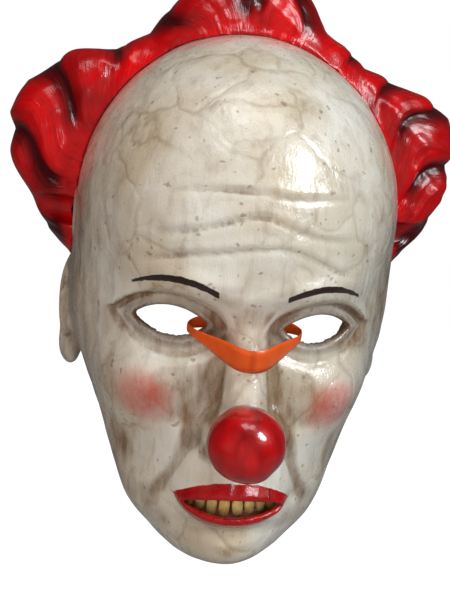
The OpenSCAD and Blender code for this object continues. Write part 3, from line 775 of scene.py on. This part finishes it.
cheekMask = np.exp(-(((mx - 45) / 12.5) ** 2 + ((mz - eyeZ + 36) / 12.5) ** 2) ** 2) * onFront
# these two values carry painted shade for the face colour, in the creases and in the deep hollows
giveValue(faceShell, "creaseShade", creaseOf(headForm, facePoints, 3.0) * 1.6)
giveValue(faceShell, "hollow", creaseOf(faceField, facePoints, 9.0))
# painted shade round the eye openings: distance from the opening's edge, on the front only
giveValue(faceShell, "lid", np.where(my < -30, np.maximum(lidEdge, 0), 30))
giveValue(faceShell, "lip", lipMask)
giveValue(faceShell, "brow", browMask)
giveValue(faceShell, "cheek", cheekMask)
hairTurn, _ = hairPlace(facePoints)
nearHair = np.where((hairTurn > -6) & (my > -40), np.exp(-(np.maximum(-my - hair["front"], 0) / 7) ** 2), 0)
giveValue(faceShell, "spray", nearHair)
# painted shade on the outer sides: darker towards the sides and lower down
giveValue(faceShell, "flankShade", smoothStep(48, 84, mx) * smoothStep(70, 20, mz) * (my < 10))
handOver(faceShell, "face_shell", "mask")

# hair castings
hairStep = 1.25
hairLow = np.minimum(boxOf("right_hair_tuft")[0], boxOf("crown_hair")[0]) - (7, 12, 9)
hairHigh = np.array([-hairLow[0], hair["backY"] + 4, boxOf("crown_hair")[1][2] + 9])
wholeHair, hairPoints = meshFromField("wholeHair", hairField, hairLow, hairHigh, hairStep)
finish(wholeHair, "hair", "raw")
insideFaces(wholeHair, hairPoints, hairOuter, 2.2)
paintHair(wholeHair, hairPoints)
for name, node, sides in (("leftHairTuft", "left_hair_tuft", [(-1, hair["split"])]),
                          ("rightHairTuft", "right_hair_tuft", [(1, -hair["split"])]),
                          ("crownHair", "crown_hair", [(1, hair["split"]), (-1, -hair["split"])])):
    casting = cutCasting(name, wholeHair, sides)
    finish(casting, "hair", "raw")
    handOver(casting, node, "mask")
bpy.data.objects.remove(wholeHair)

# nose ball: slightly squashed by hand, with a seat that follows the face
nose = {"radius": (boxOf("nose_ball")[1][0] - boxOf("nose_ball")[0][0]) / 2, "dent": 0.35}


def noseField(p):
    ball = ellipsoid(p, head["nose"] * pts(1, 0, 1) + pts(0, boxOf("nose_ball")[0][1] + nose["radius"], 0),
                     (nose["radius"], nose["radius"] - 0.4, nose["radius"] - 0.3))
    return np.maximum(ball + nose["dent"] * wave(p, 15, 21), 0.15 - headForm(p))


noseLow, noseHigh = boxOf("nose_ball")
noseBall, _ = meshFromField("noseBall", noseField, noseLow - 3, noseHigh + 3, 0.9)
finish(noseBall, "nose")
handOver(noseBall, "nose_ball", "mask")

# gums: an arch behind the lips, scalloped round each tooth
gumLow, gumHigh = boxOf("gum_plate")
teethLow, teethHigh = boxOf("upper_teeth")
lowerHigh = boxOf("lower_teeth")[1]
arch = {"radius": 27.0, "frontY": float(gumLow[1]) - 5, "wall": 2.4, "count": 8, "pitch": 12.0,
        "upperEdge": float(teethLow[2]), "lowerEdge": float(lowerHigh[2]),
        "toothHigh": float(teethHigh[2] - teethLow[2])}
archY = arch["frontY"] + arch["radius"]


def gumField(p):
    x, y, z = p[:, 0], p[:, 1] - archY, p[:, 2]
    angle = np.degrees(np.arctan2(x, -y))
    bead = np.cos(np.radians(angle / arch["pitch"] * 360))
    wall = np.abs(length(np.stack([x, y], axis=-1)) - arch["radius"] + arch["wall"] / 2) - arch["wall"] / 2
    wall = np.where(y > 0, np.abs(np.abs(x) - arch["radius"] + arch["wall"] / 2) - arch["wall"] / 2, wall)
    toUpper = z - (arch["upperEdge"] + arch["toothHigh"] * 0.62 - 1.1 * bead)
    toLower = (arch["lowerEdge"] - arch["toothHigh"] * 0.62 + 1.1 * bead) - z
    swell = (2.6 * (smoothStep(-0.8, 1.6, toUpper) + smoothStep(-0.8, 1.6, toLower))
             * smoothStep(60, 52, np.abs(angle)))
    d = np.maximum(wall - swell * np.where(y < 0, 1, 0), y - 1.0)
    d = blendMax(d, np.abs(z - (gumLow[2] + gumHigh[2]) / 2) - (gumHigh[2] - gumLow[2]) / 2 + 0.5, 2)
    return np.maximum(d, headForm(p) + head["skin"] + 0.2)


gums, _ = meshFromField("gumPlate", gumField, gumLow - (3, 8, 3), gumHigh + 3, 0.8)
finish(gums, "gum")
handOver(gums, "gum_plate", "mask")
print("castings done")


# teeth: one sculpted tooth, set round the arch by Geometry Nodes
def toothMesh(name, wide, deep, high):
    def field(p):
        taper = 1 - 0.13 * np.clip((p[:, 2] - high * 0.4) / high, 0, 1)
        body = ellipsoid(p / np.stack([taper, taper, np.ones_like(taper)], axis=-1),
                         (0, 0, high * 0.52), (wide / 2 * 1.12, deep / 2 * 1.1, high * 0.62))
        body = blendMax(body, np.abs(p[:, 0]) - wide / 2 * taper, 1.4)
        body = blendMax(body, -p[:, 2] + 0.15 * np.cos(p[:, 0] * 2.4), 1.0)
        body = blendMax(body, p[:, 2] - high, 1.2)
        return blendMax(body, p[:, 1] - deep * 0.30, 0.5)
    tooth, toothPoints = meshFromField(name, field, (-wide, -deep, -1), (wide, deep, high + 1),
            0.42)
    giveValue(tooth, "root", np.clip(toothPoints[:, 2] / high, 0, 1))
    return tooth


def toothRowTree(name, tooth):
    tree = bpy.data.node_groups.new(name, "GeometryNodeTree")
    tree.interface.new_socket("Geometry", in_out="OUTPUT", socket_type="NodeSocketGeometry")
    names = (("Count", "NodeSocketInt", 8), ("Pitch", "NodeSocketFloat", 0.2),
            ("Radius", "NodeSocketFloat", 0.03), ("Arch Y", "NodeSocketFloat", 0.0),
            ("Edge Z", "NodeSocketFloat", 0.0), ("Seed", "NodeSocketInt", 4),
            ("Material", "NodeSocketMaterial", None))
    for label, kind, value in names:
        socket = tree.interface.new_socket(label, in_out="INPUT", socket_type=kind)
        if value is not None:
            socket.default_value = value
    given = tree.nodes.new("NodeGroupInput").outputs
    add = partial(addNode, tree)
    index = add("GeometryNodeInputIndex")
    middle = add("Math", {0: add("Math", {0: given["Count"], 1: 1.0}, operation="SUBTRACT"), 1: 0.5},
                 operation="MULTIPLY")
    turn = add("Math", {0: add("Math", {0: index, 1: middle}, operation="SUBTRACT"), 1: given["Pitch"]},
               operation="MULTIPLY")
    x = add("Math", {0: add("Math", {0: turn}, operation="SINE"), 1: given["Radius"]}, operation="MULTIPLY")
    ahead = add("Math", {0: add("Math", {0: turn}, operation="COSINE"), 1: given["Radius"]},
            operation="MULTIPLY")
    y = add("Math", {0: given["Arch Y"], 1: ahead}, operation="SUBTRACT")
    row = add("GeometryNodeMeshLine", {"Count": given["Count"]})
    placed = add("GeometryNodeSetPosition", {
        "Geometry": row, "Position": add("CombineXYZ", {"X": x, "Y": y, "Z": given["Edge Z"]})})
    crooked = add("FunctionNodeRandomValue", {"Min": (-0.04, -0.05, -0.05), "Max": (0.04, 0.05, 0.05),
            "ID": index, "Seed": given["Seed"]}, data_type="FLOAT_VECTOR")
    lean = add("VectorMath", {0: add("CombineXYZ", {"Z": turn}), 1: crooked}, operation="ADD")
    grow = add("FunctionNodeRandomValue", {"Min": 0.92, "Max": 1.03, "ID": index, "Seed": given["Seed"]},
               data_type="FLOAT")
    shrink = add("Math", {0: add("Math", {0: turn}, operation="ABSOLUTE"), 1: 0.10}, operation="MULTIPLY")
    narrow = add("Math", {0: 1.0, 1: shrink}, operation="SUBTRACT")
    high = add("Math", {0: grow, 1: narrow}, operation="MULTIPLY")
    stand = add("GeometryNodeObjectInfo", {"Object": tooth}, out="Geometry")
    setTeeth = add("GeometryNodeInstanceOnPoints", {
        "Points": placed, "Instance": stand, "Rotation": lean,
        "Scale": add("CombineXYZ", {"X": narrow, "Y": 1.0, "Z": high})})
    real = add("GeometryNodeRealizeInstances", {0: setTeeth})
    painted = add("GeometryNodeSetMaterial", {"Geometry": real, "Material": given["Material"]})
    tree.links.new(painted, tree.nodes.new("NodeGroupOutput").inputs[0])
    return tree


def runTree(name, tree, values):
    # puts the tree on an empty mesh, sets its inputs, and keeps the result as a plain mesh
    holder = meshObject(name + "Holder", [(0, 0, 0)], [])
    modifier = holder.modifiers.new("Row", "NODES")
    modifier.node_group = tree
    for item in tree.interface.items_tree:
        if item.in_out == "INPUT" and item.name in values:
            modifier[item.identifier] = values[item.name]
    shown = holder.evaluated_get(bpy.context.evaluated_depsgraph_get())
    mesh = bpy.data.meshes.new_from_object(shown)
    bpy.data.objects.remove(holder)
    thing = addObject(name, mesh)
    mesh.shade_smooth()
    return thing


upperTooth = toothMesh("toothShape", 5.9, 3.8, arch["toothHigh"])
rowTree = toothRowTree("toothRow", upperTooth)
rowValues = {"Count": arch["count"], "Pitch": float(np.radians(arch["pitch"])),
        "Radius": (arch["radius"] + 1.5) * mm, "Arch Y": archY * mm, "Material": finishes["tooth"]}
upperTeeth = runTree("upperTeeth", rowTree, dict(rowValues, **{"Edge Z": arch["upperEdge"] * mm, "Seed": 4}))
lowerTeeth = runTree("lowerTeeth", rowTree, dict(rowValues, **{"Edge Z": 0.0, "Seed": 9}))
lowerTeeth.data.transform(Matrix.Translation((0, 0, arch["lowerEdge"] * mm)) @ Matrix.Scale(-1, 4, (0, 0, 1)))
lowerTeeth.data.flip_normals()
bpy.data.objects.remove(upperTooth)
for thing, node in ((upperTeeth, "upper_teeth"), (lowerTeeth, "lower_teeth")):
    handOver(thing, node, "mask")
print("teeth done")


# ribbons: a flat section swept along a path, with rounded edges
def ribbon(name, path, wides, thick, upWays, closed=False, uvName=None, edge=5):
    path = np.array(path, dtype=float)
    count = len(path)
    ahead = np.roll(path, -1, 0) - np.roll(path, 1, 0)
    if not closed:
        ahead[0], ahead[-1] = path[1] - path[0], path[-1] - path[-2]
    ahead /= np.linalg.norm(ahead, axis=1)[:, None]
    rows = []
    across = np.concatenate([np.linspace(-0.5, 0.5, edge), np.linspace(0.5, -0.5, edge)])
    side = np.concatenate([np.full(edge, 0.5), np.full(edge, -0.5)])
    pinch = np.where(np.abs(across) > 0.49, 0.45, 1.0)
    for i in range(count):
        up = np.array(upWays[i], dtype=float)
        up -= ahead[i] * (up @ ahead[i])
        up /= np.linalg.norm(up)
        out = np.cross(ahead[i], up)
        rows.append(path[i] + np.outer(across * wides[i], up) + np.outer(side * pinch * thick, out))
    ring = len(across)
    points = np.concatenate(rows)
    faces = []
    for i in range(count if closed else count - 1):
        j = (i + 1) % count
        for k in range(ring):
            m = (k + 1) % ring
            faces.append((i * ring + k, i * ring + m, j * ring + m, j * ring + k))
    if not closed:
        faces.append(tuple(range(ring))[::-1])
        faces.append(tuple((count - 1) * ring + k for k in range(ring)))
    thing = meshObject(name, points, faces)
    if uvName:
        run = np.concatenate([[0], np.cumsum(np.linalg.norm(np.diff(path, axis=0), axis=1))])
        layer = thing.data.uv_layers.new(name=uvName)
        for loop in thing.data.loops:
            i, k = divmod(loop.vertex_index, ring)
            layer.data[loop.index].uv = (run[i], across[k] * wides[i])
    return thing


def outwards(thing):
    bpy.context.view_layer.objects.active = thing
    thing.select_set(True)
    bpy.ops.object.mode_set(mode="EDIT")
    bpy.ops.mesh.select_all(action="SELECT")
    bpy.ops.mesh.normals_make_consistent(inside=False)
    bpy.ops.object.mode_set(mode="OBJECT")
    thing.select_set(False)


# elastic strap: a level arc behind the head, drooping a little, on the rivets at both ends
strapHigh = boxOf("elastic_strap")[1]
strap = {"wide": 20.0, "thick": 1.6, "lead": 9.0, "outX": float(strapHigh[0]), "droop": 14.0, "ripple": 0.35}


def strapPath():
    radius = strap["outX"] - strap["thick"] / 2
    steps = 96
    path = [(radius, -strap["wide"] / 2 + 0.2, 0), (radius, -5, 0), (radius, 0, 0), (radius, 5, 0)]
    path += [(radius * np.cos(t), strap["lead"] + radius * np.sin(t),
            strap["ripple"] * np.sin(3 * t) * np.sin(t)) for t in np.linspace(0, np.pi, steps)]
    path += [(-x, y, z) for x, y, z in path[3::-1]]
    turn = np.radians(-strap["droop"])
    spin = np.array([[1, 0, 0], [0, np.cos(turn), -np.sin(turn)], [0, np.sin(turn), np.cos(turn)]])
    return np.array(path) @ spin.T, spin @ np.array([0, 0, 1.0])


path, up = strapPath()
nearEnd = np.minimum(np.arange(len(path)), len(path) - 1 - np.arange(len(path)))
wides = np.where(nearEnd == 0, strap["wide"] * 0.5,
                 np.where(nearEnd == 1, strap["wide"] * 0.9, strap["wide"]))
elasticStrap = ribbon("elasticStrap", path, wides, strap["thick"], [up] * len(path), uvName="strapUv", edge=7)
outwards(elasticStrap)
finish(elasticStrap, "strap")
handOver(elasticStrap, "elastic_strap", "strap")


# foam pads: crowned blocks that follow the inside of the skin
def padField(middleX, middleZ, halfX, halfZ, thick):
    def field(p):
        x = np.abs(p[:, 0] - middleX) - halfX + 7
        z = np.abs(p[:, 2] - middleZ) - halfZ + 7
        outline = np.hypot(np.maximum(x, 0), np.maximum(z, 0)) + np.minimum(np.maximum(x, z), 0) - 7
        under = headForm(p) + head["skin"] + 0.2
        crown = thick - 1.6 * smoothStep(-9, 0, outline)
        d = blendMax(under, -(under + crown), 2)
        return np.where(p[:, 1] < -20, blendMax(d, outline, 3.5), 9)
    return field


for name, node in (("foreheadPad", "forehead_pad"), ("leftCheekPad", "left_cheek_pad"),
                   ("rightCheekPad", "right_cheek_pad")):
    low, high = boxOf(node)
    field = padField((low[0] + high[0]) / 2, (low[2] + high[2]) / 2, (high[0] - low[0]) / 2,
            (high[2] - low[2]) / 2, 7.0)
    pad, _ = meshFromField(name, field, low - 3, high + 3, 1.5)
    finish(pad, "foam")
    handOver(pad, node, "mask")
print("strap and pads done")

# hanging band: a folded vinyl strip round the bridge of the nose and back through the eye openings
band = {"wide": 11.0, "thick": 0.8}
bandHalf = [((0, -106, -7), 1.0), ((6, -104, -6.5), 1.0), ((12, -98, -5), 0.85), ((18, -91, -3.5), 0.55),
            ((23, -85, -2.5), 0.38), ((25.5, -79, -2.2), 0.34), ((26, -73, -2), 0.34),
            ((21, -68, -1.5), 0.5), ((10, -65.5, -1), 0.6), ((0, -65, -1), 0.6)]
bandRoute = bandHalf + [((-x, y, z), w) for (x, y, z), w in bandHalf[-2:0:-1]]
looped = bandRoute[-3:] + bandRoute + bandRoute[:4]
fine = smoothPath([q for q, w in looped], 6)[18:-18]
wides = np.interp(np.linspace(0, 1, len(fine)), np.linspace(0, 1, len(bandRoute) + 1),
                  [w for q, w in bandRoute] + [1.0]) * band["wide"]
fine = fine[:-1] + pts(0, 0, eyeZ)
wides = wides[:-1]
lean = [(0, -0.22 * np.exp(-(x / 14) ** 2) * (y < -80), 1) for x, y, z in fine]
hangBand = ribbon("hangBand", fine, wides, band["thick"] * 0.8, lean, closed=True, edge=5)
outwards(hangBand)
giveValue(hangBand, "fold", np.repeat(np.exp(-(fine[:, 0] / 1.6) ** 2), 10))
finish(hangBand, "vinyl")
handOver(hangBand, "hang_band", "band")


def wirePiece(name, route, radius):
    curve = bpy.data.curves.new(name, "CURVE")
    curve.dimensions, curve.use_fill_caps = "3D", True
    curve.bevel_depth, curve.bevel_resolution = radius * mm, 3
    spline = curve.splines.new("POLY")
    spline.points.add(len(route) - 1)
    for point, place in zip(spline.points, route):
        point.co = (*(np.array(place) * mm), 1)
    holder = addObject(name + "Route", curve)
    mesh = bpy.data.meshes.new_from_object(holder.evaluated_get(bpy.context.evaluated_depsgraph_get()))
    bpy.data.objects.remove(holder)
    thing = addObject(name, mesh)
    mesh.shade_smooth()
    return thing


stapleAt = centreOf("band_staple")
stapleHalf = 4.0
crownWire = [(x, stapleAt[1], stapleAt[2]) for x in np.linspace(-stapleHalf + 0.6, stapleHalf - 0.6, 8)]
leg = [(stapleHalf - 0.3, stapleAt[1] - 0.15, stapleAt[2]), (stapleHalf - 0.2, stapleAt[1] - 0.8,
        stapleAt[2]), (stapleHalf - 0.9, stapleAt[1] - 1.25, stapleAt[2]),
        (stapleHalf - 2.6, stapleAt[1] - 1.3, stapleAt[2])]
route = [(-x, y, z) for x, y, z in leg[::-1]] + crownWire + leg
staple = wirePiece("bandStaple", route, 0.3)
finish(staple, "wire")
handOver(staple, "band_staple", "band")

# the rivets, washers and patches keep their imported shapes
for node, name in (("left_rivet", "rivet"), ("right_rivet", "rivet"), ("left_rivet_washer", "washer"),
                   ("right_rivet_washer", "washer"), ("left_temple_patch", "tape"),
                   ("right_temple_patch", "tape")):
    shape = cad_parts[node].data
    shape.materials.clear()
    shape.materials.append(finishes[name])
print("band and hardware done")

# stage, camera and lights
view = {"azimuth": -7.0, "elevation": 14.0, "roll": 5.5, "distance": 0.40, "lens": 47.5,
        "target": (-0.0055, -0.035, -0.0345)}


def lookFrom(azimuth, elevation, distance, target):
    a, e = np.radians(azimuth), np.radians(elevation)
    away = Vector((np.sin(a) * np.cos(e), -np.cos(a) * np.cos(e), np.sin(e)))
    return Vector(target) + away * distance


camera = addObject("camera", bpy.data.cameras.new("camera"))
camera.location = lookFrom(view["azimuth"], view["elevation"], view["distance"], view["target"])
facing = (Vector(view["target"]) - camera.location).to_track_quat("-Z", "Y")
camera.rotation_euler = (facing.to_matrix() @ Matrix.Rotation(np.radians(view["roll"]), 3, "Z")).to_euler()
camera.data.lens = view["lens"]
bpy.context.scene.camera = camera

# pale paper: a round floor that curves up into a wall, so every side has the same backdrop
paper = {"drop": 300, "flat": 1800, "curve": 1400, "wall": 4200, "sides": 64}
floorZ = cadBox[0][2] / mm - paper["drop"]
sweep = [(0.5, floorZ), (paper["flat"], floorZ)]
sweep += [(paper["flat"] + paper["curve"] * np.sin(t), floorZ + paper["curve"] * (1 - np.cos(t)))
          for t in np.linspace(0.15, np.pi / 2, 9)]
sweep += [(paper["flat"] + paper["curve"], floorZ + paper["wall"])]
sides = paper["sides"]
turns = np.arange(sides) * 2 * np.pi / sides
points = [(r * np.cos(t), r * np.sin(t), z) for r, z in sweep for t in turns]
rings = [(k * sides + i, k * sides + (i + 1) % sides, (k + 1) * sides + (i + 1) % sides, (k + 1) * sides + i)
         for k in range(len(sweep) - 1) for i in range(sides)]
floor = meshObject("floor", points, [quad[::-1] for quad in rings] + [tuple(range(sides))])


def palePaper():
    # Backdrop paper: mid grey to the lamps and bright to the camera alone, so it throws little light back
    material, add, place = newMaterial("palePaper")
    lit = add("MapRange", {"Value": add("LightPath", out="Is Camera Ray"), "To Min": 0.02, "To Max": 1.0})
    return setShader(material, {"Base Color": hexColour("#6e6e6e"), "Roughness": 0.9,
            "Specular IOR Level": 0.0, "Emission Color": (1, 1, 1, 1), "Emission Strength": lit})


floor.data.materials.append(palePaper())


def softbox(name, place, aim, size, power, colour, glint=True):
    lamp = bpy.data.lights.new(name, "AREA")
    lamp.shape, lamp.size, lamp.size_y, lamp.energy, lamp.color = "RECTANGLE", size[0], size[1], power, colour
    thing = addObject(name, lamp)
    thing.location = place
    thing.rotation_euler = (Vector(aim) - Vector(place)).to_track_quat("-Z", "Y").to_euler()
    thing.visible_glossy = glint


softbox("windowRight", (0.75, -0.70, 0.70), (0, -0.03, 0), (0.30, 0.55), 11, (0.90, 0.96, 1.0))
softbox("fillLeft", (-0.9, -0.7, 0.25), (0, -0.03, -0.02), (0.6, 0.9), 4.2, (1.0, 0.86, 0.76), glint=False)
softbox("fillFront", (-0.1, -1.3, -0.1), (0, -0.03, -0.02), (1.2, 1.2), 8.0, (1.0, 0.97, 0.93), glint=False)
softbox("above", (0.0, -0.35, 1.1), (0, 0, 0), (0.7, 0.4), 3.6, (1.0, 0.98, 0.96))
softbox("behind", (0.3, 1.1, 0.5), (0, 0, 0), (0.8, 0.8), 9.0, (1.0, 0.98, 0.96), glint=False)
world = bpy.data.worlds.new("studio")
world.use_nodes = True
world.node_tree.nodes["Background"].inputs["Color"].default_value = (1, 1, 1, 1)
world.node_tree.nodes["Background"].inputs["Strength"].default_value = 0.05
bpy.context.scene.world = world

bpy.context.scene.view_settings.view_transform = "Standard"     # enamel reds keep their strength
